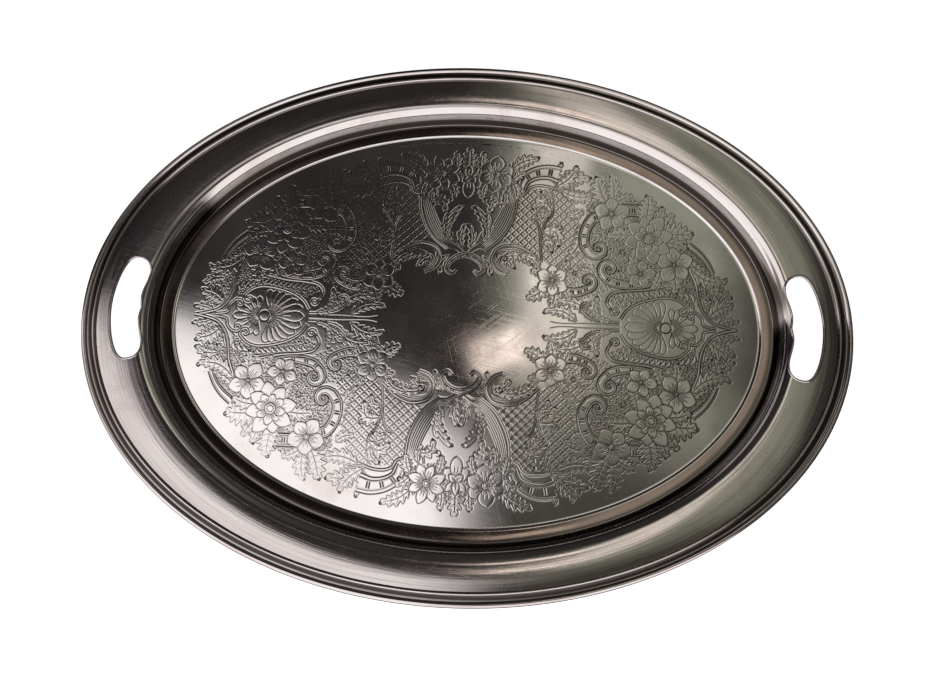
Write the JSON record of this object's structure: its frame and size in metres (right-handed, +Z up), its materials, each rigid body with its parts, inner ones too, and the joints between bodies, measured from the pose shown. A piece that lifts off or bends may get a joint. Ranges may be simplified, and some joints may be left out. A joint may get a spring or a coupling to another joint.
{
  "type": "serving tray",
  "caption": "Oval silver-plated serving tray with a flat well, raised flange, reeded rolled rim and a kidney-shaped hand-hole at each end",
  "frame": {"origin": "centre of the tray on the flat surface it stands on", "axes": "+X along the length, through both hand-holes; +Y across the width; +Z up"},
  "size_m": [0.56, 0.3954, 0.026],
  "materials": {
    "pan_silver_plate": "silver plate on brass sheet, tarnished brown-grey, fine scratches, chased ornament in the well",
    "rim_silver_plate": "silver plate, polished on the high lines, dark tarnish in the grooves",
    "edge_wire_brass": "drawn wire, hidden inside the rolled rim",
    "binding_silver_plate": "silver-plated wire, worn bright by handling"
  },
  "bodies": {
    "root": {"tray_pan": "pan_silver_plate", "rim_moulding": "rim_silver_plate", "edge_wire": "edge_wire_brass", "hand_hole_binding_left": "binding_silver_plate", "hand_hole_binding_right": "binding_silver_plate"}
  },
  "joints": []
}
